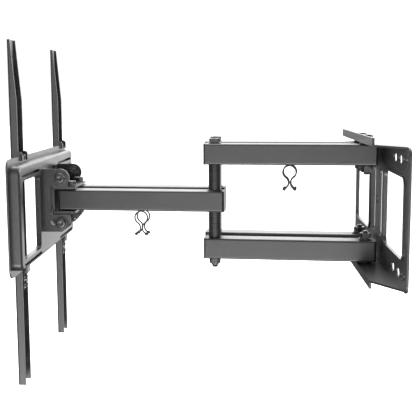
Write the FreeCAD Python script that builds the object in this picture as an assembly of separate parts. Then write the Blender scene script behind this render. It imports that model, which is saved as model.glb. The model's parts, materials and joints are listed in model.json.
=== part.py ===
import FreeCAD, Part
import math
import os

# Full motion television wall mount, in millimetres.
# Origin: centre of the wall plate's back face. +X points into the wall, -X towards the television,
# +Z is up and -Y is the near side. The arms are stored pulled out straight.

V = FreeCAD.Vector
UP = V(0, 0, 1)

# Arms: two side by side, each a rear section of two tubes and a front section of one.
arm_length = 196.0          # pivot to pivot, the same for the rear and the front section
arm_spacing = 53.0          # between the two arms' parallel pivots
rest_swing = 6.0            # degrees that the straight arms lean towards the far side
tube_width = 28.0
tube_height = 27.0
tube_wall = 1.8
tube_corner = 2.5
tube_gap = 35.0             # free height between one tube and the next
tube_overhang = 13.5        # from a pivot's axis to the outer face of the end cap
cap_thickness = 2.5
cap_chamfer = 2.4
cap_plug_depth = 4.0
cap_plug_gap = 0.1

# Fasteners and bearings.
bolt_radius = 4.0
bolt_flats = 13.0
bolt_head = 5.3
bolt_tip = 3.0              # thread that stands out of a nut
nut_height = 6.5
lock_collar_radius = 4.9
lock_collar_height = 2.0
washer_radius = 8.5
washer_thickness = 1.4
bush_radius = 6.0
bush_flange_radius = 10.0
bush_flange = 1.2
sleeve_radius = 8.2
running_gap = 0.05          # radial, between a bolt and its bush
open_pivot_gap = 0.4        # radial, at the far head pivot
face_gap = 0.1              # between faces that turn on each other
fixed_gap = 0.1             # radial, round a fastener that doesn't turn in its hole

# Wall plate: a pressed plate with a shelf along the top and the bottom.
plate_width = 400.0
plate_sheet = 2.5
plate_corner = 10.0
pivot_offset = 21.5         # from the wall to the rear pivots
shelf_depth = 32.5
shelf_lip_width = 270.0
shelf_root_inset = 12.0     # the shelf stops short of the plate's ends
lip_height = 7.6
wall_window_inner = 59.0
wall_window_outer = 178.0
wall_window_half_height = 46.0
wall_window_corner = 9.0
wall_window_rim = 1.9
rim_depth = 2.0
centre_gap_inner = 17.0
centre_gap_outer = 33.0
centre_gap_half_height = 44.0
centre_hole_radius = 6.0
lag_slot_width = 9.0
lag_slot_height = 65.0
long_slot_centres = (115.0, 147.0)
long_slot_length = 20.0
short_slot_centres = (169.0, 184.0)
short_slot_length = 11.0

# Head: a yoke on the two front tubes, with tilt ears above and below.
yoke_sheet = 3.0
yoke_web_gap = 1.5
yoke_front_reach = 8.5
tilt_axis_back = 10.0       # from the head pivots to the tilt axis, towards the television
tilt_height = 30.0
tab_radius = 9.0
yoke_half_width = 42.0
friction_washer = 1.0
tilt_sheet = 2.5
tilt_head_radius = 6.8       # button heads with a hexagonal socket
tilt_head = 4.4
tilt_head_round = 2.2
tilt_socket_flats = 5.0
tilt_socket_depth = 2.6
tilt_ear_radius = 12.0
tilt_slot_up = 5.0          # degrees
tilt_slot_down = 10.0
tilt_cut_half_height = 18.8
tilt_spine_back = 13.5      # from the tilt axis to the spine's wall-side edge
tilt_plate_half_height = 42.0
tilt_foot = 20.0
rivet_radius = 2.5
rivet_head_radius = 4.5
rivet_head = 1.6

# Television plate: a flat flange all round a raised frame that faces the wall.
tv_plate_half_width = 168.5
tv_plate_top = 63.0
tv_plate_bottom = -81.0
tv_plate_depth = 14.5
tv_plate_sheet = 2.0
tv_plate_corner = 12.0
tv_flange = 8.0
tv_frame_corner = 10.0
tv_plate_from_head = 34.1   # from the head pivots to the raised frame's wall-side face
tv_band_top = 27.0
tv_band_bottom = 20.0
tv_band_side = 21.0
tv_centre_half_width = 58.0
tv_window_corner = 8.0
tv_window_lip = 5.0
tv_bend_radius = 4.0
tv_slot_height = 3.6
tv_slot_inset = 2.4
tv_groove_depth = 5.0
tv_groove_wall = 1.4
stop_tab_width = 4.0
stop_tab_height = 6.0
stop_tab_root = 14.0

# Rails: one open channel behind each side of the television.
rail_length = 440.0
rail_centre_z = -13.0
rail_width = 28.0
rail_depth = 10.0
rail_sheet = 2.0
rail_seat_gap = 0.3
rail_corner = 3.0
rail_taper_length = 75.0
rail_taper_depth = 4.0
near_rail_y = -52.0
far_rail_y = 190.0
rail_hole_radius = 4.3
rail_hole_steps = (-200.0, -150.0, -100.0, -50.0, 50.0, 100.0, 150.0, 200.0)
hook_sheet = 2.5
hook_height = 5.0
hook_drop = 6.0
hook_gap = 0.4
catch_gap = 2.5
catch_height = 24.0
catch_width = 14.0
catch_finger = 3.5
catch_drop = 6.0
screw_radius = 2.5
screw_head_radius = 4.2
screw_head = 3.2
screw_from_catch_top = 8.5
screw_pitch = 10.0

# Cable clips: a spring wire bent into two hoops.
clip_wire = 1.0
clip_loop = 8.5
clip_turn = 55.0            # degrees below level where the loop bends back
clip_splay = 70.0           # degrees that each leg turns past the neck
clip_ball = 2.25
clip_spacing = 14.0
clip_nib = 2.0
clip_nib_depth = 3.4
clip_from_pivot = 98.0

# What follows from the sizes above.
upper_tube_low = tube_height / 2 + tube_gap
upper_tube_high = upper_tube_low + tube_height
pivot_stack = bush_flange + washer_thickness + face_gap
shelf_under = upper_tube_high + pivot_stack
plate_half_height = shelf_under + plate_sheet
wall_pivot_x = -pivot_offset
lean = math.radians(rest_swing)
head_x = wall_pivot_x - 2 * arm_length * math.cos(lean)
head_y = 2 * arm_length * math.sin(lean)
yoke_plate_low = tube_height / 2 + bush_flange + face_gap
yoke_plate_high = yoke_plate_low + yoke_sheet
tube_reach = max(math.hypot(tube_width / 2, tube_overhang - cap_thickness),
                 math.hypot(tube_width / 2 - cap_chamfer, tube_overhang))
yoke_web_face = head_x - tube_reach - yoke_web_gap
tilt_x = head_x - tilt_axis_back
tilt_plate_inner = yoke_half_width + friction_washer
tilt_plate_outer = tilt_plate_inner + tilt_sheet
tv_face = head_x - tv_plate_from_head
tv_rim = tv_face - tv_plate_depth
rail_edge = tv_rim - rail_seat_gap
rail_back = rail_edge - rail_depth
rail_bottom = rail_centre_z - rail_length / 2
rail_top = rail_centre_z + rail_length / 2
slot_radius = 2 * tilt_height
hole_radius = bolt_radius + fixed_gap
catch_top = tv_plate_bottom - catch_gap
sides = (("near", -1), ("far", 1))


def box(x0, x1, y0, y1, z0, z1):
    return Part.makeBox(x1 - x0, y1 - y0, z1 - z0, V(x0, y0, z0))


def post(radius, x, y, z0, z1):
    return Part.makeCylinder(radius, z1 - z0, V(x, y, z0), UP)


def bar_y(radius, x, z, y0, y1):
    return Part.makeCylinder(radius, y1 - y0, V(x, y0, z), V(0, 1, 0))


def bar_x(radius, y, z, x0, x1):
    return Part.makeCylinder(radius, x1 - x0, V(x0, y, z), V(1, 0, 0))


def ring(outer, inner, x, y, z0, z1):
    return post(outer, x, y, z0, z1).cut(post(inner, x, y, z0, z1))


def ring_y(outer, inner, x, z, y0, y1):
    return bar_y(outer, x, z, y0, y1).cut(bar_y(inner, x, z, y0, y1))


def prism(points, axis, low, high, radius=0.0):
    """A closed outline drawn across an axis and drawn out along it, its corners rounded."""
    place = {
        "x": lambda a, b: V(low, a, b),
        "y": lambda a, b: V(a, low, b),
        "z": lambda a, b: V(a, b, low),
    }[axis]
    along = {"x": V(1, 0, 0), "y": V(0, 1, 0), "z": UP}[axis]
    corners = [place(a, b) for a, b in points]
    solid = Part.Face(Part.makePolygon(corners + corners[:1])).extrude(along * (high - low))
    if radius > 0:
        upright = [e for e in solid.Edges if abs(e.tangentAt(e.FirstParameter).dot(along)) > 0.999]
        solid = solid.makeFillet(radius, upright)
    return solid


def slab(a0, a1, b0, b1, axis, low, high, radius=0.0):
    return prism([(a0, b0), (a1, b0), (a1, b1), (a0, b1)], axis, low, high, radius)


def hexagon(x, y, z0, z1):
    """A hexagonal head or nut on a vertical bolt."""
    corner = bolt_flats / math.sqrt(3)
    turns = [math.radians(60 * i) for i in range(6)]
    points = [(x + corner * math.cos(t), y + corner * math.sin(t)) for t in turns]
    return prism(points, "z", z0, z1)


def hexagon_y(x, z, y0, y1, flats):
    """A hexagonal nut or socket on a bolt that lies across the arms."""
    corner = flats / math.sqrt(3)
    turns = [math.radians(60 * i) for i in range(6)]
    points = [(x + corner * math.cos(t), z + corner * math.sin(t)) for t in turns]
    return prism(points, "y", y0, y1)


def upside_down(shape):
    return shape.mirror(V(0, 0, 0), UP)


def other_side(shape, y=0.0):
    return shape.mirror(V(0, y, 0), V(0, 1, 0))


def swung(shape, x, y):
    """Take a piece drawn about its pivot at the origin to the arm's own place and lean."""
    moved = shape.copy()
    moved.rotate(V(0, 0, 0), UP, -rest_swing)
    moved.translate(V(x, y, 0))
    return moved


def save(name, *shapes):
    solids = [s for shape in shapes for s in shape.Solids]
    part = solids[0] if len(solids) == 1 else Part.makeCompound(solids)
    part.exportStep("parts/" + name + ".step")


# Wall plate

def shelf():
    """The upper shelf, with its lip turned up along the front."""
    root = plate_width / 2 - shelf_root_inset
    tip = shelf_lip_width / 2
    front = -shelf_depth
    outline = [(0, -root), (front, -tip), (front, tip), (0, root)]
    sheet = prism(outline, "z", shelf_under, plate_half_height)
    lip = box(front, front + plate_sheet, -tip, tip, shelf_under, plate_half_height + lip_height)
    return sheet.fuse(lip)


def lag_slot(centre, length, z):
    half = length / 2
    width = lag_slot_width / 2
    return slab(centre - half, centre + half, z - width, z + width, "x", -plate_sheet, 0, width - 0.01)


def wall_plate():
    half = plate_width / 2
    top = plate_half_height
    plate = slab(-half, half, -top, top, "x", -plate_sheet, 0, plate_corner)
    plate = plate.fuse([shelf(), upside_down(shelf())])
    cuts = [bar_x(centre_hole_radius, 0, 0, -plate_sheet, 0)]
    for side in (-1, 1):
        inner, outer = sorted((side * wall_window_inner, side * wall_window_outer))
        high = wall_window_half_height
        rim = wall_window_rim
        collar = slab(inner - rim, outer + rim, -high - rim, high + rim, "x",
                      -plate_sheet - rim_depth, -plate_sheet, wall_window_corner + rim)
        plate = plate.fuse(collar)
        cuts.append(slab(inner, outer, -high, high, "x", -plate_sheet - rim_depth, 0, wall_window_corner))
        gap = sorted((side * centre_gap_inner, side * centre_gap_outer))
        tall = centre_gap_half_height
        cuts.append(slab(gap[0], gap[1], -tall, tall, "x", -plate_sheet, 0, wall_window_corner - 2))
        for z in (-lag_slot_height, lag_slot_height):
            cuts += [lag_slot(side * y, long_slot_length, z) for y in long_slot_centres]
            cuts += [lag_slot(side * y, short_slot_length, z) for y in short_slot_centres]
        cuts.append(post(hole_radius, wall_pivot_x, side * arm_spacing / 2,
                         -plate_half_height, plate_half_height))
    return plate.cut(cuts).removeSplitter()


# Fasteners of one vertical pivot at the origin

def wall_bolt():
    """Down through the upper shelf and one rear tube, into a nut below the tube."""
    head_low = plate_half_height + washer_thickness
    tip = upper_tube_low - pivot_stack - nut_height - bolt_tip
    shank = post(bolt_radius, 0, 0, tip, head_low)
    return shank.fuse(hexagon(0, 0, head_low, head_low + bolt_head)).removeSplitter()


def wall_washers():
    """Above the shelf, between the shelf and the tube, and between the tube and the nut."""
    lows = (plate_half_height, shelf_under - washer_thickness, upper_tube_low - pivot_stack)
    return [ring(washer_radius, hole_radius, 0, 0, z, z + washer_thickness) for z in lows]


def nut(z0, z1):
    return hexagon(0, 0, z0, z1).cut(post(hole_radius, 0, 0, z0, z1))


def lock_nut(z1):
    """A nut with its nylon collar below, its top face at z1."""
    body = hexagon(0, 0, z1 - nut_height, z1)
    collar = post(lock_collar_radius, 0, 0, z1 - nut_height - lock_collar_height, z1 - nut_height)
    bore = post(hole_radius, 0, 0, z1 - nut_height - lock_collar_height, z1)
    return body.fuse(collar).cut(bore).removeSplitter()


def bush(inner, z, outward):
    """A flanged bush in a tube's wall: its flange lies on the tube's face at z."""
    flange_end = z + outward * bush_flange
    barrel_end = z - outward * (tube_wall + bush_flange)
    flange = post(bush_flange_radius, 0, 0, min(z, flange_end), max(z, flange_end))
    barrel = post(bush_radius, 0, 0, min(z, barrel_end), max(z, barrel_end))
    bore = post(inner, 0, 0, min(flange_end, barrel_end), max(flange_end, barrel_end))
    return flange.fuse(barrel).cut(bore).removeSplitter()


# Tubes, drawn along -X from the rear pivot at the origin

def tube(low, rear_hole, front_hole, nib_holes):
    start = tube_overhang - cap_thickness
    end = -arm_length - start
    half = tube_width / 2
    wall = tube_wall
    outer = slab(-half, half, low, low + tube_height, "x", end, start, tube_corner)
    inner = slab(-half + wall, half - wall, low + wall, low + tube_height - wall, "x", end, start,
                 tube_corner - wall)
    cuts = [inner]
    for x, radius in ((0, rear_hole), (-arm_length, front_hole)):
        cuts.append(post(radius, x, 0, low, low + tube_height))
    for x in nib_holes:
        cuts.append(post(clip_nib + fixed_gap, x, 0, low, low + wall))
    return outer.cut(cuts)


def caps(low):
    """A plastic cap for each end of a tube."""
    half = tube_width / 2
    inset = tube_wall + cap_plug_gap
    start = tube_overhang - cap_thickness
    face = slab(start, tube_overhang, -half, half, "z", low, low + tube_height)
    outer = [e for e in face.Edges if e.Length > tube_height - 1
             and abs(e.CenterOfMass.x - tube_overhang) < 0.01
             and abs(e.tangentAt(0).z) > 0.9]
    face = face.makeChamfer(cap_chamfer, outer)
    plug = slab(-half + inset, half - inset, low + inset, low + tube_height - inset,
                "x", start - cap_plug_depth, start, tube_corner - tube_wall + cap_plug_gap)
    cap = face.fuse(plug).removeSplitter()
    front = cap.mirror(V(-arm_length / 2, 0, 0), V(1, 0, 0))
    return [cap, front]


# Elbow, at -X by one arm length from the rear pivot

def at_elbow(shape):
    moved = shape.copy()
    moved.translate(V(-arm_length, 0, 0))
    return moved


def elbow_bolt():
    head_low = upper_tube_high + washer_thickness
    tip = -head_low - nut_height - lock_collar_height - bolt_tip
    shank = post(bolt_radius, 0, 0, tip, head_low)
    return at_elbow(shank.fuse(hexagon(0, 0, head_low, head_low + bolt_head)).removeSplitter())


def elbow_sleeves():
    low = tube_height / 2 + bush_flange + face_gap
    upper = ring(sleeve_radius, hole_radius, 0, 0, low, upper_tube_low)
    return [at_elbow(upper), at_elbow(upside_down(upper))]


def elbow_washers():
    upper = ring(washer_radius, hole_radius, 0, 0, upper_tube_high, upper_tube_high + washer_thickness)
    return [at_elbow(upper), at_elbow(upside_down(upper))]


# Cable clip, hanging under a tube whose underside is at z

def bent_wire(x, y, z, first, turn):
    """A wire bent round an upright circle, from an angle above level through a turn, in degrees."""
    angle = math.radians(first)
    out = V(math.cos(angle), 0, math.sin(angle))
    tangent = V(-out.z, 0, out.x)
    start = V(x, y, z) + out * clip_loop
    section = Part.Face(Part.Wire(Part.makeCircle(clip_wire, start, tangent)))
    return section.revolve(V(x, y, z), V(0, -1, 0), turn)


def wire_ball(x, y, z, side):
    """The ball on a leg's end, turned so that its seam and poles are clear of the wire."""
    ball = Part.makeSphere(clip_ball)
    ball.rotate(V(0, 0, 0), V(1, 0, 0), 90)
    if side < 0:
        ball.rotate(V(0, 0, 0), V(0, 1, 0), 180)
    ball.translate(V(side * x, y, z))
    return ball


def hoop(y, z):
    """One hoop: a round loop that narrows to a neck and splays out to two balls."""
    centre_z = z - clip_wire - clip_loop
    turn = math.radians(clip_turn)
    bend_x = 2 * clip_loop * math.cos(turn)
    bend_z = centre_z - 2 * clip_loop * math.sin(turn)
    foot = math.radians(clip_splay)
    foot_x = bend_x - clip_loop * math.cos(foot)
    foot_z = bend_z - clip_loop * math.sin(foot)
    legs = [
        bent_wire(bend_x, y, bend_z, 180 - clip_turn, clip_turn + clip_splay),
        bent_wire(-bend_x, y, bend_z, -clip_splay, clip_turn + clip_splay),
    ]
    balls = [wire_ball(foot_x, y, foot_z, side) for side in (-1, 1)]
    loop = [bent_wire(0, y, centre_z, first, 90 + clip_turn) for first in (-clip_turn, 90)]
    return loop[0].fuse(loop[1:] + legs + balls)


def cable_clip(x, z):
    half = clip_spacing / 2
    bridge = bar_y(clip_wire, 0, z - clip_wire, -half, half)
    nib = post(clip_nib, 0, 0, z - clip_wire, z + clip_nib_depth)
    clip = hoop(-half, z).fuse([hoop(half, z), bridge, nib])
    clip.translate(V(x, 0, 0))
    return clip


# Head

def tab():
    """The yoke's ear that takes a tilt bolt, drawn for the near upper corner."""
    edge = head_y - yoke_half_width
    foot = box(tilt_x - tab_radius, tilt_x + tab_radius, edge, edge + yoke_sheet,
               yoke_plate_low, tilt_height)
    return foot.fuse(bar_y(tab_radius, tilt_x, tilt_height, edge, edge + yoke_sheet))


def head_yoke():
    back = yoke_web_face - yoke_sheet
    front = head_x + yoke_front_reach
    low, high = head_y - yoke_half_width, head_y + yoke_half_width
    plate = slab(back, front, low, high, "z", yoke_plate_low, yoke_plate_high, 2.0)
    web = box(back, yoke_web_face, low + 2, high - 2, -yoke_plate_low, yoke_plate_low)
    near_tab = tab()
    far_tab = other_side(near_tab, head_y)
    upper = [plate, near_tab, far_tab]
    yoke = web.fuse(upper + [upside_down(piece) for piece in upper])
    cuts = []
    for side in (-1, 1):
        y = head_y + side * arm_spacing / 2
        cuts.append(post(hole_radius, head_x, y, -yoke_plate_high, yoke_plate_high))
    for z in (-tilt_height, tilt_height):
        cuts.append(bar_y(hole_radius, tilt_x, z, low, high))
    return yoke.cut(cuts).removeSplitter()


def head_bolt():
    head_low = yoke_plate_high + washer_thickness
    tip = -head_low - nut_height - bolt_tip
    shank = post(bolt_radius, 0, 0, tip, head_low)
    return shank.fuse(hexagon(0, 0, head_low, head_low + bolt_head)).removeSplitter()


def head_washers():
    upper = ring(washer_radius, hole_radius, 0, 0, yoke_plate_high, yoke_plate_high + washer_thickness)
    return [upper, upside_down(upper)]


def at_head(shape, side):
    moved = shape.copy()
    moved.translate(V(head_x, head_y + side * arm_spacing / 2, 0))
    return moved


def across_head(outer):
    """Mirror a near-side piece so that the head has both."""
    return [outer, other_side(outer, head_y)]


def tilt_bolt(z):
    """From its head outside the tilt plate to its nut inside the yoke's ear."""
    plate_side = head_y - tilt_plate_outer
    head_face = plate_side - washer_thickness
    tip = head_y - yoke_half_width + yoke_sheet + nut_height + bolt_tip / 2
    head_top = head_face - tilt_head
    shank = bar_y(bolt_radius, tilt_x, z, head_face, tip)
    head = bar_y(tilt_head_radius, tilt_x, z, head_top, head_face)
    rounded = [e for e in head.Edges if abs(e.BoundBox.YMax - head_top) < 0.01]
    head = head.makeFillet(tilt_head_round, rounded)
    socket = hexagon_y(tilt_x, z, head_top, head_top + tilt_socket_depth, tilt_socket_flats)
    return shank.fuse(head).cut(socket).removeSplitter()


def tilt_nut(z):
    start = head_y - yoke_half_width + yoke_sheet
    body = hexagon_y(tilt_x, z, start, start + nut_height, bolt_flats)
    return body.cut(bar_y(hole_radius, tilt_x, z, start, start + nut_height))


def tilt_washer(z):
    outer = head_y - tilt_plate_outer
    return ring_y(washer_radius, hole_radius, tilt_x, z, outer - washer_thickness, outer)


def tilt_friction_washer(z):
    inner = head_y - tilt_plate_inner
    return ring_y(washer_radius, hole_radius, tilt_x, z, inner, inner + friction_washer)


def tilt_slot(y0, y1):
    """The lower ear's slot, an arc about the upper tilt bolt."""
    def on(radius, degrees):
        angle = math.radians(degrees)
        return V(tilt_x + radius * math.sin(angle), y0, tilt_height - radius * math.cos(angle))
    first, last = -tilt_slot_down, tilt_slot_up
    middle = (first + last) / 2
    inner, outer = slot_radius - hole_radius, slot_radius + hole_radius
    edges = [
        Part.Arc(on(inner, first), on(inner, middle), on(inner, last)).toShape(),
        Part.LineSegment(on(inner, last), on(outer, last)).toShape(),
        Part.Arc(on(outer, last), on(outer, middle), on(outer, first)).toShape(),
        Part.LineSegment(on(outer, first), on(inner, first)).toShape(),
    ]
    slot = Part.Face(Part.Wire(edges)).extrude(V(0, y1 - y0, 0))
    ends = [bar_y(hole_radius, on(slot_radius, a).x, on(slot_radius, a).z, y0, y1) for a in (first, last)]
    return slot.fuse(ends)


def tilt_plate():
    """The near C-shaped plate with its foot on the television plate."""
    y0 = head_y - tilt_plate_outer
    y1 = head_y - tilt_plate_inner
    spine = tilt_x - tilt_spine_back
    high = tilt_plate_half_height
    cut = tilt_cut_half_height
    upper = tilt_height + tilt_ear_radius
    body = slab(tv_face, spine, -high, upper, "y", y0, y1)
    ear_tip = tilt_x + tilt_ear_radius
    top_ear = box(spine, tilt_x, y0, y1, cut, upper)
    top_round = bar_y(tilt_ear_radius, tilt_x, tilt_height, y0, y1)
    low_ear = prism([(spine, -cut), (ear_tip, -cut), (ear_tip, -tilt_height), (tilt_x, -high), (spine, -high)],
                    "y", y0, y1)
    foot = box(tv_face, tv_face + tilt_sheet, y0, y1 + tilt_foot, -high, upper)
    plate = body.fuse([top_ear, top_round, low_ear, foot])
    cuts = [
        bar_y(bolt_radius + running_gap, tilt_x, tilt_height, y0, y1),
        tilt_slot(y0, y1),
        box(spine, ear_tip, y0, y1, -cut, cut),
    ]
    for z in (-tilt_height, tilt_height):
        cuts.append(bar_x(rivet_radius + fixed_gap, y1 + tilt_foot / 2, z, tv_face, tv_face + tilt_sheet))
    return plate.cut(cuts).removeSplitter()


def rivet(z):
    """Through the tilt plate's foot and the television plate."""
    y = head_y - tilt_plate_inner + tilt_foot / 2
    front = tv_face + tilt_sheet
    back = tv_face - tv_plate_sheet
    shank = bar_x(rivet_radius, y, z, back - rivet_head, front + rivet_head)
    heads = [bar_x(rivet_head_radius, y, z, front, front + rivet_head),
             bar_x(rivet_head_radius, y, z, back - rivet_head, back)]
    return shank.fuse(heads).removeSplitter()


# Television plate

def tv_window(side, grow, x0, x1):
    """The opening between the centre panel and one side band, grown all round by an allowance."""
    inner = side * tv_centre_half_width
    outer = side * (tv_plate_half_width - tv_band_side)
    low, high = sorted((inner, outer))
    return slab(head_y + low - grow, head_y + high + grow,
                tv_plate_bottom + tv_band_bottom - grow, tv_plate_top - tv_band_top + grow,
                "x", x0, x1, tv_window_corner + grow)


def tv_plate():
    sheet = tv_plate_sheet
    low, high = head_y - tv_plate_half_width, head_y + tv_plate_half_width
    flange = slab(low, high, tv_plate_bottom, tv_plate_top, "x", tv_rim, tv_rim + sheet, tv_plate_corner)
    inset = tv_flange
    frame = slab(low + inset, high - inset, tv_plate_bottom + inset, tv_plate_top - inset,
                 "x", tv_rim, tv_face, tv_frame_corner)
    front = [e for e in frame.Edges if abs(e.BoundBox.XMin - tv_face) < 0.01]
    frame = frame.makeFillet(tv_bend_radius, front)
    inset = tv_flange + sheet
    hollow = slab(low + inset, high - inset, tv_plate_bottom + inset, tv_plate_top - inset,
                  "x", tv_rim, tv_face - sheet, tv_frame_corner - sheet)
    plate = flange.fuse(frame).cut(hollow)
    lips = [tv_window(side, sheet, tv_face - sheet - tv_window_lip, tv_face - sheet) for side in (-1, 1)]
    cuts = [tv_window(side, 0, tv_rim, tv_face) for side in (-1, 1)]
    groove_floor = tv_face - sheet - tv_groove_depth
    wall = tv_groove_wall
    for side in (-1, 1):
        ends = sorted((head_y + side * tv_centre_half_width,
                       head_y + side * (tv_plate_half_width - tv_band_side)))
        for z in (tv_plate_top - tv_band_top + sheet + tv_slot_inset,
                  tv_plate_bottom + tv_band_bottom - sheet - tv_slot_inset - tv_slot_height):
            high_z = z + tv_slot_height
            lips.append(slab(ends[0] - wall, ends[1] + wall, z - wall, high_z + wall, "x",
                             groove_floor, tv_face - sheet))
            cuts.append(slab(ends[0], ends[1], z, high_z, "x", groove_floor + wall, tv_face,
                             tv_slot_height / 2 - 0.01))
        for z in (-tilt_height, tilt_height):
            y = head_y + side * (tilt_plate_inner - tilt_foot / 2)
            cuts.append(bar_x(rivet_radius + fixed_gap, y, z, tv_face - sheet, tv_face))
    stop = box(tv_rim, tv_rim + sheet, high - stop_tab_width, high,
               tv_plate_top - stop_tab_root, tv_plate_top + stop_tab_height)
    return plate.fuse(lips + [stop]).cut(cuts).removeSplitter()


# Rails

def hook(y0):
    """A hook of the rail's side wall, over the upper flange of the television plate."""
    seat = tv_plate_top + hook_gap
    inner = tv_rim + tv_plate_sheet + hook_gap
    points = [
        (rail_edge - rail_sheet, seat), (inner, seat), (inner, seat - hook_drop),
        (inner + hook_sheet, seat - hook_drop), (inner + hook_sheet, seat + hook_height - 2),
        (inner + hook_sheet - 2, seat + hook_height), (rail_edge - rail_sheet, seat + hook_height),
    ]
    return prism(points, "y", y0, y0 + rail_sheet)


def rail(y):
    half = rail_width / 2
    inner = half - rail_sheet
    outer = slab(rail_back, rail_edge, y - half, y + half, "z", rail_bottom, rail_top)
    bends = [e for e in outer.Edges if abs(e.CenterOfMass.x - rail_back) < 0.01 and e.Length > rail_length - 1]
    outer = outer.makeFillet(rail_corner, bends)
    hollow = box(rail_back + rail_sheet, rail_edge, y - inner, y + inner, rail_bottom, rail_top)
    taper = prism([(rail_edge, rail_top - rail_taper_length), (rail_edge, rail_top),
                   (rail_edge - rail_depth + rail_taper_depth, rail_top)], "y", y - half, y + half)
    channel = outer.cut([hollow, taper])
    channel = channel.fuse([hook(y - half), hook(y + inner)])
    holes = [bar_x(rail_hole_radius, y, rail_centre_z + step, rail_back, rail_back + rail_sheet)
             for step in rail_hole_steps]
    holes += [bar_x(screw_radius + fixed_gap, y, z, rail_back, rail_back + rail_sheet)
              for z in catch_screw_heights()]
    return channel.cut(holes).removeSplitter()


def catch_screw_heights():
    first = catch_top - screw_from_catch_top
    return (first, first - screw_pitch)


def rail_catch(y):
    """A block in the rail with a finger that holds the television plate's lower flange."""
    half = catch_width / 2
    back = rail_back + rail_sheet
    bottom = catch_top - catch_height
    block = box(back, tv_rim, y - half, y + half, bottom, catch_top)
    inner = tv_rim + tv_plate_sheet + hook_gap
    arm = box(tv_rim, inner + hook_sheet, y - half, y + half, catch_top - catch_finger, catch_top)
    finger = box(inner, inner + hook_sheet, y - half, y + half, catch_top, catch_top + catch_drop)
    holes = [bar_x(screw_radius + fixed_gap, y, z, back, tv_rim) for z in catch_screw_heights()]
    return block.fuse([arm, finger]).cut(holes).removeSplitter()


def rail_screws(y):
    screws = []
    for z in catch_screw_heights():
        shank = bar_x(screw_radius, y, z, rail_back, tv_rim)
        head = bar_x(screw_head_radius, y, z, tv_rim, tv_rim + screw_head)
        screws.append(shank.fuse(head).removeSplitter())
    return screws


# Assembly

def build_wall():
    save("wall_plate", wall_plate())
    bolts, washers, nuts = [], [], []
    for side in (-1, 1):
        for flip in (False, True):
            group = ([wall_bolt()], wall_washers(),
                     [nut(upper_tube_low - pivot_stack - nut_height, upper_tube_low - pivot_stack)])
            for kind, pieces in zip((bolts, washers, nuts), group):
                for piece in pieces:
                    turned = upside_down(piece) if flip else piece.copy()
                    turned.translate(V(wall_pivot_x, side * arm_spacing / 2, 0))
                    kind.append(turned)
    save("wall_pivot_bolts", *bolts)
    save("wall_pivot_washers", *washers)
    save("wall_pivot_nuts", *nuts)


def build_arm(name, side):
    y = side * arm_spacing / 2
    elbow_y = y + arm_length * math.sin(lean)
    elbow_x = wall_pivot_x - arm_length * math.cos(lean)
    has_clips = name == "near"
    bore = bolt_radius + running_gap
    nibs = [-clip_from_pivot] if has_clips else []
    upper = tube(upper_tube_low, bush_radius + fixed_gap, hole_radius, nibs)
    lower = upside_down(tube(upper_tube_low, bush_radius + fixed_gap, hole_radius, []))
    rear = {
        "rear_upper_tube": [upper],
        "rear_lower_tube": [lower],
        "rear_tube_caps": caps(upper_tube_low) + [upside_down(c) for c in caps(upper_tube_low)],
        "wall_pivot_bushes": [],
        "elbow_bolt": [elbow_bolt()],
        "elbow_sleeves": elbow_sleeves(),
        "elbow_washers": elbow_washers(),
        "elbow_lock_nut": [at_elbow(lock_nut(-upper_tube_high - washer_thickness))],
    }
    for z, outward in ((upper_tube_high, 1), (upper_tube_low, -1)):
        upper_bush = bush(bore, z, outward)
        rear["wall_pivot_bushes"] += [upper_bush, upside_down(upper_bush)]
    head_bore = bore if name == "near" else bolt_radius + open_pivot_gap
    half = tube_height / 2
    front = {
        "front_tube": [tube(-half, bush_radius + fixed_gap, bush_radius + fixed_gap, nibs)],
        "front_tube_caps": caps(-half),
        "elbow_bushes": [bush(bore, half, 1), bush(bore, -half, -1)],
        "head_bushes": [at_elbow(bush(head_bore, half, 1)), at_elbow(bush(head_bore, -half, -1))],
    }
    if has_clips:
        rear["rear_cable_clip"] = [cable_clip(-clip_from_pivot, upper_tube_low)]
        front["front_cable_clip"] = [cable_clip(-clip_from_pivot, -half)]
    for section, x, at_y in ((rear, wall_pivot_x, y), (front, elbow_x, elbow_y)):
        for piece, shapes in section.items():
            save(name + "_" + piece, *[swung(shape, x, at_y) for shape in shapes])


def build_head():
    save("head_yoke", head_yoke())
    save("head_pivot_bolts", *[at_head(head_bolt(), side) for side in (-1, 1)])
    save("head_pivot_washers", *[at_head(w, side) for side in (-1, 1) for w in head_washers()])
    low = -yoke_plate_high - washer_thickness
    save("head_pivot_nuts", *[at_head(nut(low - nut_height, low), side) for side in (-1, 1)])
    save("tilt_pivot_bolts", *across_head(tilt_bolt(tilt_height)))
    save("tilt_lock_bolts", *across_head(tilt_bolt(-tilt_height)))
    for piece, maker in (("tilt_nuts", tilt_nut), ("tilt_washers", tilt_washer),
                         ("tilt_friction_washers", tilt_friction_washer)):
        save(piece, *[s for z in (-tilt_height, tilt_height) for s in across_head(maker(z))])
    near_plate, far_plate = across_head(tilt_plate())
    save("near_tilt_plate", near_plate)
    save("far_tilt_plate", far_plate)
    save("tilt_plate_rivets", *[s for z in (-tilt_height, tilt_height) for s in across_head(rivet(z))])
    save("tv_plate", tv_plate())


def build_rails():
    for name, y in (("near", near_rail_y), ("far", far_rail_y)):
        save(name + "_rail", rail(y))
        save(name + "_rail_catch", rail_catch(y))
        save(name + "_rail_screws", *rail_screws(y))


os.makedirs("parts", exist_ok=True)
build_wall()
for arm, arm_side in sides:
    build_arm(arm, arm_side)
build_head()
build_rails()
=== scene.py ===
import json
import math

import bpy
import bmesh
from mathutils import Matrix, Vector


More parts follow.
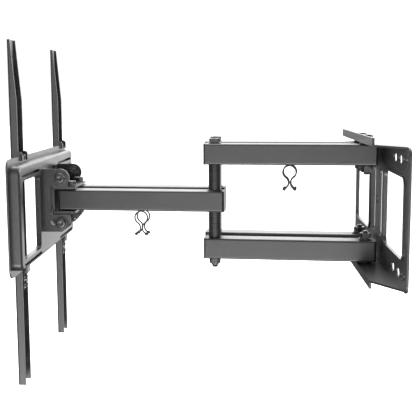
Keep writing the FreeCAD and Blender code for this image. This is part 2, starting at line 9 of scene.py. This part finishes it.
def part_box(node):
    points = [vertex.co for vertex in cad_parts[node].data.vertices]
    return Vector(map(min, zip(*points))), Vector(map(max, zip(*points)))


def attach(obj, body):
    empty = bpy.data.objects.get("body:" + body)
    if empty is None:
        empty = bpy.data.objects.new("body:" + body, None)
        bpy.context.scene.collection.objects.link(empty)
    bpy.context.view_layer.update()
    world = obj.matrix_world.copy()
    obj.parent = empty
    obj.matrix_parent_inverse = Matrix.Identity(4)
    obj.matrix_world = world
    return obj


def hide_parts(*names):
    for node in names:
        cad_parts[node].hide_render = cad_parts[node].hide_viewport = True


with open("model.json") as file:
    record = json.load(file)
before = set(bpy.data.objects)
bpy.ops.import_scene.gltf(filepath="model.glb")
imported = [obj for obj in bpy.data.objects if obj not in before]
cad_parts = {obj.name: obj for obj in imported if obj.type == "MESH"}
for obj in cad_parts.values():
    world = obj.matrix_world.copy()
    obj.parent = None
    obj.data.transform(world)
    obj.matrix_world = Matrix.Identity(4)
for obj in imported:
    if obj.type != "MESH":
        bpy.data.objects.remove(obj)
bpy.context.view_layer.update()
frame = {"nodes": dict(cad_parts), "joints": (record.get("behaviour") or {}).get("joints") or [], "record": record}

# Full motion television wall mount, in metres: +X is into the wall, -X towards the television,
# +Z up and -Y the near side. The CAD nodes keep their shapes; fasteners get detailed stand-ins.

nodes = frame["nodes"]
body_of_node = {name: body
                for body, names in frame["record"]["behaviour"]["bodies"].items()
                for name in names}
slot_of_node = {entry["node"]: entry["material_slot"] for entry in frame["record"]["subparts"]}


# Shader nodes

def adder(tree):
    """A function that adds a node to a tree, its inputs linked to sockets or set to plain values."""
    def add(kind, inputs=None, **settings):
        node = tree.nodes.new(kind)
        for key, value in settings.items():
            setattr(node, key, value)
        for key, value in (inputs or {}).items():
            if isinstance(value, bpy.types.NodeSocket):
                tree.links.new(value, node.inputs[key])
            else:
                node.inputs[key].default_value = value
        return node
    return add


def shader(name):
    """A new material, its Principled shader, a function that adds nodes and one that links to it."""
    material = bpy.data.materials.new(name)
    material.use_nodes = True
    tree = material.node_tree
    surface = tree.nodes["Principled BSDF"]

    def link(output, key):
        tree.links.new(output, surface.inputs[key])

    return material, surface, adder(tree), link


def on_the_piece(add):
    """Coordinates that stay with a piece as it moves."""
    return add("ShaderNodeTexCoord").outputs["Object"]


def noise(add, place, scale, detail=2.0, stretch=None):
    """A noise pattern, drawn out along an axis if asked."""
    if stretch:
        place = add("ShaderNodeMapping", {"Vector": place, "Scale": stretch}).outputs["Vector"]
    return add("ShaderNodeTexNoise", {"Vector": place, "Scale": scale, "Detail": detail}).outputs["Fac"]


def spread(add, value, low, high, start=0.3, end=0.7):
    """Low where a value is below the start, high where it is past the end, and even between them."""
    return add("ShaderNodeMapRange", {"Value": value, "From Min": start, "From Max": end,
                                      "To Min": low, "To Max": high}).outputs["Result"]


def combine(add, operation, first, second):
    """The result of a sum, product or other operation on two values."""
    return add("ShaderNodeMath", {0: first, 1: second}, operation=operation).outputs["Value"]


def blend(add, factor, first, second):
    """A mix of two colours."""
    mix = add("ShaderNodeMix", data_type="RGBA")
    for key, value in (("Factor", factor), ("A", first), ("B", second)):
        socket = [s for s in mix.inputs if s.name == key and s.enabled][0]
        if isinstance(value, bpy.types.NodeSocket):
            mix.id_data.links.new(value, socket)
        else:
            socket.default_value = value
    return [s for s in mix.outputs if s.enabled][0]


def bump(add, height, strength, distance):
    """The normal of a fine relief."""
    relief = add("ShaderNodeBump", {"Height": height, "Strength": strength, "Distance": distance})
    return relief.outputs["Normal"]


def grey(level, tint=0.0):
    """A grey whose blue is raised by a tint."""
    return (level, level, level * (1 + tint), 1.0)


def edge_wear_and_highlight(add, place, radius, amount):
    """Painted highlight along edges, partly rubbed wear: bright where the bent normal differs from the flat one,
    broken up by noise.
    """
    # the mask that paints a highlight on edges, patchy like rubbed wear
    rounded = add("ShaderNodeBevel", {"Radius": radius}, samples=6).outputs["Normal"]
    flat = add("ShaderNodeNewGeometry").outputs["Normal"]
    dot = add("ShaderNodeVectorMath", {0: rounded, 1: flat}, operation="DOT_PRODUCT").outputs["Value"]
    edge = spread(add, dot, 1.0, 0.0, start=0.86, end=0.99)
    patches = spread(add, noise(add, place, scale=55.0, detail=4.0), 0.0, amount, start=0.42, end=0.68)
    return combine(add, "MULTIPLY", edge, patches)


# Finishes

def powder_coat():
    """Black powder coat: fine orange peel and paler specks, with a painted highlight and rubbed wear at the edges.
    """
    material, surface, add, link = shader("powder_coat_steel")
    dark, light = grey(0.015, tint=0.10), grey(0.022, tint=0.07)
    fleck, worn_and_highlit = grey(0.036, tint=0.04), grey(0.11, tint=0.03)
    place = on_the_piece(add)
    peel = noise(add, place, scale=1150.0)
    speck = noise(add, place, scale=420.0, detail=3.0)
    cloud = noise(add, place, scale=13.0, detail=3.0)
    # painted highlight along the edges, partly rubbed wear
    wear_and_highlight = edge_wear_and_highlight(add, place, radius=0.0007, amount=0.55)
    base = blend(add, spread(add, cloud, 0.0, 1.0), dark, light)
    base = blend(add, spread(add, speck, 0.0, 0.4, start=0.5, end=0.72), base, fleck)
    link(blend(add, wear_and_highlight, base, worn_and_highlit), "Base Color")
    rough = spread(add, cloud, 0.31, 0.39)
    link(combine(add, "ADD", rough, spread(add, speck, -0.03, 0.04)), "Roughness")
    link(bump(add, combine(add, "ADD", peel, speck), strength=0.45, distance=0.00012), "Normal")
    surface.inputs["IOR"].default_value = 1.62
    return material


def fastener_black():
    """Black oxide on steel, brighter at the edges with a painted highlight and where a tool has rubbed it."""
    material, surface, add, link = shader("black_oxide_fastener")
    dark, light, worn_and_highlit = grey(0.055, tint=0.05), grey(0.095, tint=0.02), grey(0.42)
    place = on_the_piece(add)
    grain = noise(add, place, scale=900.0, detail=3.0)
    patch = noise(add, place, scale=160.0, detail=3.0)
    # painted highlight crescents on the edges of heads and nuts, partly rubbed wear
    wear_and_highlight = edge_wear_and_highlight(add, place, radius=0.0005, amount=0.8)
    base = blend(add, spread(add, patch, 0.0, 1.0), dark, light)
    link(blend(add, wear_and_highlight, base, worn_and_highlit), "Base Color")
    link(spread(add, grain, 0.24, 0.36), "Roughness")
    surface.inputs["Metallic"].default_value = 0.75
    link(bump(add, grain, strength=0.2, distance=0.0001), "Normal")
    return material


def turned_steel():
    """Blackened sleeves with faint turning lines round them."""
    material, surface, add, link = shader("turned_black_sleeve")
    dark, light = grey(0.022, tint=0.06), grey(0.036, tint=0.04)
    place = on_the_piece(add)
    lines = noise(add, place, scale=1.0, stretch=(15.0, 15.0, 5200.0))
    patch = noise(add, place, scale=60.0, detail=3.0)
    link(blend(add, spread(add, patch, 0.0, 1.0), dark, light), "Base Color")
    link(spread(add, lines, 0.20, 0.34), "Roughness")
    surface.inputs["Metallic"].default_value = 0.25
    link(bump(add, lines, strength=0.02, distance=0.00003), "Normal")
    return material


def moulded(name, dark, light, rough, grain_scale, strength):
    """A grained plastic or dipped coat."""
    material, surface, add, link = shader(name)
    place = on_the_piece(add)
    grain = noise(add, place, grain_scale, detail=3.0)
    patch = noise(add, place, scale=30.0)
    link(blend(add, spread(add, patch, 0.0, 1.0), grey(dark), grey(light)), "Base Color")
    link(spread(add, grain, rough - 0.05, rough + 0.07), "Roughness")
    link(bump(add, grain, strength, distance=0.0001), "Normal")
    return material


finishes = {
    "powder_coat": powder_coat(),
    "fastener": fastener_black(),
    "shaft": turned_steel(),
    "plastic": moulded("moulded_black_plastic", 0.016, 0.024, rough=0.42, grain_scale=1600.0, strength=0.3),
    "bush": moulded("oiled_nylon_bush", 0.030, 0.045, rough=0.34, grain_scale=700.0, strength=0.12),
    "clip_wire": moulded("dipped_black_wire", 0.012, 0.020, rough=0.22, grain_scale=260.0, strength=0.10),
}


# CAD nodes

small_edge = 0.00045
edge_width = {"wall_plate": 0.0007, "tv_plate": 0.0006, "head_yoke": 0.0006,
              "near_tilt_plate": 0.0006, "far_tilt_plate": 0.0006}
same_point = 1e-6                   # points nearer than this are one
eased_sliver = 4e-6                 # what the easing leaves nearer than this is closed up
flat_bend = math.radians(0.4)       # faces that bend less than this are one
sharp_bend = math.radians(38)       # edges that bend more than this are eased
normal_weight = 80


def finish_node(name):
    """Give a CAD node its finish, make its flat faces whole, ease its sharp edges and shade it smoothly."""
    piece = nodes[name]
    piece.data.materials.clear()
    piece.data.materials.append(finishes[slot_of_node[name]])
    piece.data.shade_smooth()
    weld = piece.modifiers.new("weld", "WELD")
    weld.merge_threshold = same_point
    whole = piece.modifiers.new("whole_faces", "DECIMATE")
    whole.decimate_type = "DISSOLVE"
    whole.angle_limit = flat_bend
    ease = piece.modifiers.new("ease", "BEVEL")
    ease.limit_method = "ANGLE"
    ease.angle_limit = sharp_bend
    ease.width = edge_width.get(name, small_edge)
    ease.segments = 2
    ease.use_clamp_overlap = True
    tidy = piece.modifiers.new("tidy", "WELD")
    tidy.merge_threshold = eased_sliver
    even = piece.modifiers.new("even", "WEIGHTED_NORMAL")
    even.weight = normal_weight
    even.keep_sharp = False


for name in nodes:
    finish_node(name)


# Fasteners are stacks of rings about +Z, with the head's bearing face at z = 0 and the head above it.

around = 48                         # points in a ring
ledge = 0.0001                      # the height of a step between two rings
crease = math.radians(33)           # edges that bend more than this stay sharp

thread_pitch = 0.00125
thread_depth = 0.00062
thread_steps = 8                    # rings in one turn of thread

chamfer_slope = 0.58                # how a hexagon's corners fall away
chamfer_start = 0.99                # and the share of its half width where that begins
washer_face, washer_face_height = 0.97, 0.0003      # share of the half width, height
hexagon_low = 0.0004
head_dish = ((0.96, 0.00004), (0.90, 0.0), (0.70, 0.0), (0.64, 0.00035), (0.2, 0.0004))  # share, depth
hex_point = ((0.62, 0.0), (0.74, 0.0001), (0.82, 0.0006))       # share of the radius, rise from the tip
hex_thread_low = 0.0008

nut_face = 0.93                     # share of the half width
mouth_widening, mouth_depth = 0.0005, 0.0006
collar_round = ((0.0009, 0.0), (0.0003, 0.00025), (0.0, 0.0008))  # inset, rise from the collar's end

button_side, button_crown = 0.42, 0.58              # shares of the head's height
button_round = 0.0022
button_steps = 6
socket_mouth = ((0.0005, 0.0), (0.0002, 0.0002))    # widening of the corners, depth
socket_low = 0.0005                                 # where the hexagon begins, below the top
socket_drill, socket_drill_depth = 0.3, 0.0004      # share of the corners' radius, depth
socket_point = ((0.62, 0.0), (0.82, 0.0007))        # share of the radius, rise from the tip
socket_thread = (0.0009, 0.0075)                    # rise from the tip
socket_plain_low = 0.0078

dome_steps = 5
dome_crown = 0.94                   # share of its quarter turn where a dome stops


def circle(radius, z):
    return [(radius * math.cos(2 * math.pi * i / around), radius * math.sin(2 * math.pi * i / around), z)
            for i in range(around)]


def hexagon_ring(flats, height, slope=0.0):
    """A hexagon whose corners drop away from its height by a slope."""
    ring = []
    for i in range(around):
        angle = 2 * math.pi * i / around
        radius = flats / 2 / math.cos((angle % (math.pi / 3)) - math.pi / 6)
        z = height - slope * max(0.0, radius - chamfer_start * flats / 2)
        ring.append((radius * math.cos(angle), radius * math.sin(angle), z))
    return ring


def thread_rings(radius, low, high):
    """A helical thread between two heights, fading out at its upper end."""
    rings = []
    steps = max(thread_steps, int(round((high - low) / thread_pitch * thread_steps)))
    for step in range(steps + 1):
        z = low + (high - low) * step / steps
        fade = min(1.0, (high - z) / thread_pitch)
        ring = []
        for i in range(around):
            turn = (z / thread_pitch - i / around) % 1.0
            groove = 1.0 - abs(2.0 * turn - 1.0)
            r = radius - thread_depth * groove * fade
            angle = 2 * math.pi * i / around
            ring.append((r * math.cos(angle), r * math.sin(angle), z))
        rings.append(ring)
    return rings


def shank_rings(radius, length, point, thread_low, thread_high, plain_low):
    """A bolt from its tip to its head: its point, its thread and its plain part."""
    return ([circle(radius * share, -length + rise) for share, rise in point]
            + thread_rings(radius, -length + thread_low, -length + thread_high)
            + [circle(radius, -length + plain_low), circle(radius, -ledge)])


def dome(radius, height, base, outward):
    """The rings of a domed head, from its rim to near its crown."""
    rings = [circle(radius, base)]
    for step in range(1, dome_steps + 1):
        turn = math.pi / 2 * step / dome_steps * dome_crown
        rings.append(circle(radius * math.cos(turn), base + outward * height * math.sin(turn)))
    return rings


def skin(shape, rings, place, loop=False):
    """A closed skin through rings of points: its ends are capped, or it closes on itself round a bore."""
    rows = [[shape.verts.new(place @ Vector(point)) for point in ring] for ring in rings]
    pairs = list(zip(rows, rows[1:])) + ([(rows[-1], rows[0])] if loop else [])
    for lower, upper in pairs:
        for i in range(len(lower)):
            k = (i + 1) % len(lower)
            shape.faces.new((lower[i], lower[k], upper[k], upper[i]))
    if not loop:
        shape.faces.new(list(reversed(rows[0])))
        shape.faces.new(rows[-1])


def hex_bolt(shape, place, radius, length, threaded, flats, head):
    """A hexagonal head with a washer face below and a dished top."""
    half = flats / 2
    rings = shank_rings(radius, length, hex_point, hex_thread_low, threaded, threaded + ledge)
    rings += [circle(half * washer_face, 0.0), circle(half * washer_face, washer_face_height),
              hexagon_ring(flats, hexagon_low), hexagon_ring(flats, head, chamfer_slope)]
    rings += [circle(half * share, head - depth) for share, depth in head_dish]
    skin(shape, rings, place)


def nut_rings(flats, low, high, bore):
    """The outside of a nut, from its lower face to the upper mouth of its bore."""
    face = flats / 2 * nut_face
    return [circle(face, low), hexagon_ring(flats, low, -chamfer_slope),
            hexagon_ring(flats, high, chamfer_slope), circle(face, high),
            circle(bore + mouth_widening, high), circle(bore, high - mouth_depth)]


def plain_nut(shape, place, flats, low, high, bore):
    rings = [circle(bore + mouth_widening, low)] + nut_rings(flats, low, high, bore)
    skin(shape, rings + [circle(bore, low + mouth_depth)], place, loop=True)


def lock_nut(shape, place, flats, low, high, bore, collar_radius, collar):
    """A hexagonal nut with the rounded collar of its nylon insert below."""
    rings = [circle(bore, low - collar)]
    rings += [circle(collar_radius - inset, low - collar + rise) for inset, rise in collar_round]
    rings += [circle(collar_radius, low - ledge)] + nut_rings(flats, low, high, bore)
    skin(shape, rings, place, loop=True)


def socket_bolt(shape, place, radius, length, head_radius, head, socket_flats, depth):
    """A button head with a hexagonal socket."""
    rings = shank_rings(radius, length, socket_point, *socket_thread, socket_plain_low)
    rings += [circle(head_radius, 0.0), circle(head_radius, head * button_side)]
    for step in range(1, button_steps + 1):
        turn = math.pi / 2 * step / button_steps
        rings.append(circle(head_radius - button_round * (1 - math.cos(turn)),
                            head * button_side + head * button_crown * math.sin(turn)))
    corner = socket_flats / math.sqrt(3)
    rings += [circle(corner + widening, head - down) for widening, down in socket_mouth]
    rings += [hexagon_ring(socket_flats, head - socket_low), hexagon_ring(socket_flats, head - depth),
              circle(corner * socket_drill, head - depth - socket_drill_depth)]
    skin(shape, rings, place)


def fastener(node, build):
    """One object that stands for all the fasteners of a CAD node."""
    shape = bmesh.new()
    build(shape)
    bmesh.ops.recalc_face_normals(shape, faces=shape.faces)
    for face in shape.faces:
        face.smooth = True
    for edge in shape.edges:
        if len(edge.link_faces) == 2 and edge.calc_face_angle(0.0) > crease:
            edge.smooth = False
    mesh = bpy.data.meshes.new("detailed_" + node)
    shape.to_mesh(mesh)
    shape.free()
    mesh.materials.append(finishes["fastener"])
    piece = bpy.data.objects.new("detailed_" + node, mesh)
    bpy.context.scene.collection.objects.link(piece)
    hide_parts(node)
    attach(piece, body_of_node[node])


# Where the fasteners sit. Heights are from the middle of the mount, widths from the middle of the head.

joint_at = {joint["name"]: Vector(joint["pos_m"]) for joint in frame["joints"] if "pos_m" in joint}
wall_pivots = [joint_at["near_arm_swing"], joint_at["far_arm_swing"]]
head_pivots = [joint_at["near_head_pivot"],
               joint_at["near_head_pivot"] + joint_at["far_arm_swing"] - joint_at["near_arm_swing"]]
tilt = joint_at["tilt"]

flats, bolt_radius, head_height, nut_height = 0.013, 0.004, 0.0053, 0.0065
hole_clearance = 0.00012
bore = bolt_radius + hole_clearance
short_thread = 0.012                # on the bolts at the wall and the head

wall_bearing = 0.0821
wall_bolt_tip = 0.0363
wall_nut_low = 0.0393

tube_high = 0.0755
washer = 0.0014
elbow_bearing = tube_high + washer
elbow_lean = -math.radians(6.0)
elbow_thread = 0.016
elbow_bolt_past = 0.0115            # from the lower washer to the bolt's tip
collar_radius, collar_height = 0.0049, 0.002

head_bearing = 0.0192
head_bolt_past = 0.0095             # from the lower washer to the bolt's tip

tilt_bearing = 0.0469
tilt_nut_outer, tilt_bolt_tip = 0.039, 0.031
button_radius, button_height = 0.0068, 0.0044
socket_flats, socket_depth = 0.005, 0.0026

rivet_shank, rivet_head, rivet_height = 0.0025, 0.0045, 0.0016

screw_shank, screw_head, screw_height = 0.0025, 0.0042, 0.0032
screw_tip = 0.8                     # share of the shank's radius
screw_thread_low, screw_thread_high = 0.0004, -0.0009       # from the tip, from the head
recess_mouth, recess_floor, recess_depth = 0.0013, 0.0006, 0.0016


def at(x, y, flip=False, turn=0.0):
    """The place of an upright bolt, with its head up or flipped down."""
    place = Matrix.Translation((x, y, 0.0)) @ Matrix.Rotation(turn, 4, "Z")
    return place @ Matrix.Rotation(math.pi, 4, "X") if flip else place


def across(y, z, side):
    """The place of a bolt across the head whose own +Z points outward to one side."""
    return Matrix.Translation((tilt.x, y, z)) @ Matrix.Rotation(-side * math.pi / 2, 4, "X")


def into_the_wall(x, y, z):
    """The place of a rivet or screw whose own +Z points to the wall."""
    return Matrix.Translation((x, y, z)) @ Matrix.Rotation(math.pi / 2, 4, "Y")


def elbow_bolt(elbow):
    def build(shape):
        place = at(elbow.x, elbow.y, turn=elbow_lean) @ Matrix.Translation((0, 0, elbow_bearing))
        length = 2 * elbow_bearing + elbow_bolt_past
        hex_bolt(shape, place, bolt_radius, length, elbow_thread, flats, head_height)
    return build


def elbow_nut(elbow):
    def build(shape):
        place = at(elbow.x, elbow.y, turn=elbow_lean)
        lock_nut(shape, place, flats, -elbow_bearing - nut_height, -elbow_bearing, bore,
                 collar_radius, collar_height)
    return build


def wall_bolts(shape):
    for pivot in wall_pivots:
        for flip in (False, True):
            place = at(pivot.x, pivot.y, flip) @ Matrix.Translation((0, 0, wall_bearing))
            length = wall_bearing - wall_bolt_tip
            hex_bolt(shape, place, bolt_radius, length, short_thread, flats, head_height)


def wall_nuts(shape):
    for pivot in wall_pivots:
        for flip in (False, True):
            place = at(pivot.x, pivot.y, flip)
            plain_nut(shape, place, flats, wall_nut_low, wall_nut_low + nut_height, bore)


def head_bolts(shape):
    for pivot in head_pivots:
        place = at(pivot.x, pivot.y) @ Matrix.Translation((0, 0, head_bearing))
        length = 2 * head_bearing + head_bolt_past
        hex_bolt(shape, place, bolt_radius, length, short_thread, flats, head_height)


def head_nuts(shape):
    for pivot in head_pivots:
        plain_nut(shape, at(pivot.x, pivot.y), flats, -head_bearing - nut_height, -head_bearing, bore)


def tilt_bolts(z):
    def build(shape):
        for side in (-1, 1):
            place = across(tilt.y + side * tilt_bearing, z, side)
            socket_bolt(shape, place, bolt_radius, tilt_bearing - tilt_bolt_tip,
                        button_radius, button_height, socket_flats, socket_depth)
    return build


def tilt_nuts(shape):
    for side in (-1, 1):
        for z in (-tilt.z, tilt.z):
            place = across(tilt.y + side * tilt_nut_outer, z, side)
            plain_nut(shape, place, flats, -nut_height, 0.0, bore)


def rivets(shape):
    """Domed heads on both sides of the television plate and the tilt plates' feet."""
    low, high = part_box("tilt_plate_rivets")
    length = high.x - low.x
    rings = list(reversed(dome(rivet_head, rivet_height, rivet_height, -1)))
    rings += [circle(rivet_shank, rivet_height), circle(rivet_shank, length - rivet_height)]
    rings += dome(rivet_head, rivet_height, length - rivet_height, 1)
    for y in (low.y + rivet_head, high.y - rivet_head):
        for z in (-tilt.z, tilt.z):
            skin(shape, rings, into_the_wall(low.x, y, z))


def pan_screws(node):
    """Pan heads with a round, tapered recess on the catch screws."""
    low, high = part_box(node)

    def build(shape):
        length = high.x - screw_height - low.x
        rings = [circle(screw_shank * screw_tip, -length)]
        rings += thread_rings(screw_shank, -length + screw_thread_low, screw_thread_high)
        rings += [circle(screw_shank, -ledge)] + dome(screw_head, screw_height, 0.0, 1)[:-1]
        rings += [circle(recess_mouth, screw_height), circle(recess_floor, screw_height - recess_depth)]
        for z in (low.z + screw_head, high.z - screw_head):
            skin(shape, rings, into_the_wall(high.x - screw_height, (low.y + high.y) / 2, z))
    return build


for side in ("near", "far"):
    elbow = joint_at[side + "_elbow"]
    fastener(side + "_elbow_bolt", elbow_bolt(elbow))
    fastener(side + "_elbow_lock_nut", elbow_nut(elbow))
fastener("wall_pivot_bolts", wall_bolts)
fastener("wall_pivot_nuts", wall_nuts)
fastener("head_pivot_bolts", head_bolts)
fastener("head_pivot_nuts", head_nuts)
fastener("tilt_pivot_bolts", tilt_bolts(tilt.z))
fastener("tilt_lock_bolts", tilt_bolts(-tilt.z))
fastener("tilt_nuts", tilt_nuts)
fastener("tilt_plate_rivets", rivets)
for side in ("near", "far"):
    fastener(side + "_rail_screws", pan_screws(side + "_rail_screws"))


# Stage, light and camera

floor_radius, floor_height, floor_glow = 14.0, -0.36, 0.45

# How bright the room is in each direction, as the mount mirrors it and as the camera sees it
room_front, room_side, room_top, room_front_low = 0.24, 0.12, 0.6, 9.0
room_back_low, room_back_high, room_wall_side = 0.05, 2.9, 2.0
room_seen = 1.06

# Where those parts begin and end, as the share of a direction along an axis
y_behind, y_ahead, y_in_front = (0.1, 0.7), (-0.75, -0.2), (-0.8, -0.5)
z_raised, z_above, z_below = (-0.06, 0.12), (0.3, 0.9), (-0.44, -0.22)
x_wall_side, z_low_end = (0.06, 0.20), (-0.40, -0.22)

# Name, place, point it faces, width, height and power
softboxes = (
    ("overhead_softbox", (-0.25, 0.5, 1.6), (-0.22, 0.0, 0.0), 1.6, 1.2, 30.0),
    ("key_softbox", (-0.7, -1.9, 0.35), (-0.2, 0.0, 0.0), 1.1, 0.9, 4.8),
    ("low_front_softbox", (-0.1, -1.7, -0.28), (-0.2, 0.0, 0.0), 1.6, 0.16, 2.5),
    ("wall_side_softbox", (1.4, 0.9, 0.7), (-0.3, 0.0, 0.0), 0.7, 1.0, 26.0),
)

camera_place = (-0.1883, -1.1020, 0.1368)
camera_yaw, camera_pitch, camera_roll = 0.034, 0.1329, -0.0046
focal_length, sensor_width = 72.5, 36.0             # millimetres
nearest, farthest = 0.05, 60.0


def floor():
    """A pale disc that glows a little and isn't mirrored in the mount."""
    mesh = bpy.data.meshes.new("studio_floor")
    shape = bmesh.new()
    bmesh.ops.create_circle(shape, cap_ends=True, segments=96, radius=floor_radius)
    bmesh.ops.translate(shape, verts=shape.verts, vec=(0, 0, floor_height))
    shape.to_mesh(mesh)
    shape.free()
    ground = bpy.data.objects.new("studio_floor", mesh)
    bpy.context.scene.collection.objects.link(ground)
    material, surface, add, link = shader("pale_floor")
    mottle = spread(add, noise(add, on_the_piece(add), scale=3.0), 0.0, 1.0)
    link(blend(add, mottle, grey(0.94), grey(0.96)), "Base Color")
    surface.inputs["Roughness"].default_value = 0.9
    surface.inputs["Emission Color"].default_value = grey(1.0)
    surface.inputs["Emission Strength"].default_value = floor_glow
    surface.inputs["Specular IOR Level"].default_value = 0.1
    mesh.materials.append(material)
    ground.visible_glossy = False


def studio():
    """A white room to the camera. What the mount mirrors is brighter behind, where it reaches lower
    at the wall's side, and also above and low in front."""
    world = bpy.data.worlds.new("studio")
    world.use_nodes = True
    tree = world.node_tree
    sky = tree.nodes["Background"]
    sky.inputs["Color"].default_value = (1, 1, 1, 1)
    add = adder(tree)
    way = add("ShaderNodeSeparateXYZ", {"Vector": add("ShaderNodeTexCoord").outputs["Generated"]})
    x, y, z = (way.outputs[axis] for axis in "XYZ")
    behind = spread(add, y, 0.0, 1.0, *y_behind)
    raised = spread(add, z, room_back_low, room_back_high, *z_raised)
    wall_side = spread(add, x, 0.0, room_wall_side, *x_wall_side)
    low_end = spread(add, z, 0.0, 1.0, *z_low_end)
    raised = combine(add, "MAXIMUM", raised, combine(add, "MULTIPLY", wall_side, low_end))
    lit = combine(add, "MULTIPLY", behind, raised)
    ahead = spread(add, y, room_front, room_side, *y_ahead)
    above = spread(add, z, 0.0, room_top, *z_above)
    in_front = spread(add, y, 1.0, 0.0, *y_in_front)
    below = spread(add, z, room_front_low, 0.0, *z_below)
    for more in (ahead, above, combine(add, "MULTIPLY", in_front, below)):
        lit = combine(add, "ADD", lit, more)
    seen = add("ShaderNodeLightPath").outputs["Is Camera Ray"]
    shown = add("ShaderNodeMix", {"Factor": seen, "A": lit, "B": room_seen}).outputs["Result"]
    tree.links.new(shown, sky.inputs["Strength"])
    bpy.context.scene.world = world
    for name, place, aim, wide, high, power in softboxes:
        lamp = bpy.data.lights.new(name, "AREA")
        lamp.shape = "RECTANGLE"
        lamp.size, lamp.size_y = wide, high
        lamp.energy = power
        light = bpy.data.objects.new(name, lamp)
        light.location = place
        light.rotation_euler = (Vector(aim) - Vector(place)).to_track_quat("-Z", "Y").to_euler()
        bpy.context.scene.collection.objects.link(light)


def camera():
    """A camera on the near side, turned by its yaw, then its pitch, then its roll."""
    lens = bpy.data.cameras.new("photo_camera")
    lens.sensor_width = sensor_width
    lens.lens = focal_length
    lens.clip_start = nearest
    lens.clip_end = farthest
    eye = bpy.data.objects.new("photo_camera", lens)
    yaw, pitch, roll = camera_yaw, camera_pitch, camera_roll
    back = Vector((math.sin(yaw), -math.cos(yaw), 0.0))
    right = Vector((math.cos(yaw), math.sin(yaw), 0.0))
    up = Vector((0.0, 0.0, 1.0))
    back_tilted = back * math.cos(pitch) + up * math.sin(pitch)
    up_tilted = up * math.cos(pitch) - back * math.sin(pitch)
    right_rolled = right * math.cos(roll) + up_tilted * math.sin(roll)
    up_rolled = up_tilted * math.cos(roll) - right * math.sin(roll)
    turn = Matrix((right_rolled, up_rolled, back_tilted)).transposed().to_4x4()
    eye.matrix_world = Matrix.Translation(camera_place) @ turn
    bpy.context.scene.collection.objects.link(eye)
    bpy.context.scene.camera = eye


floor()
studio()
camera()
bpy.context.scene.view_settings.view_transform = "Standard"
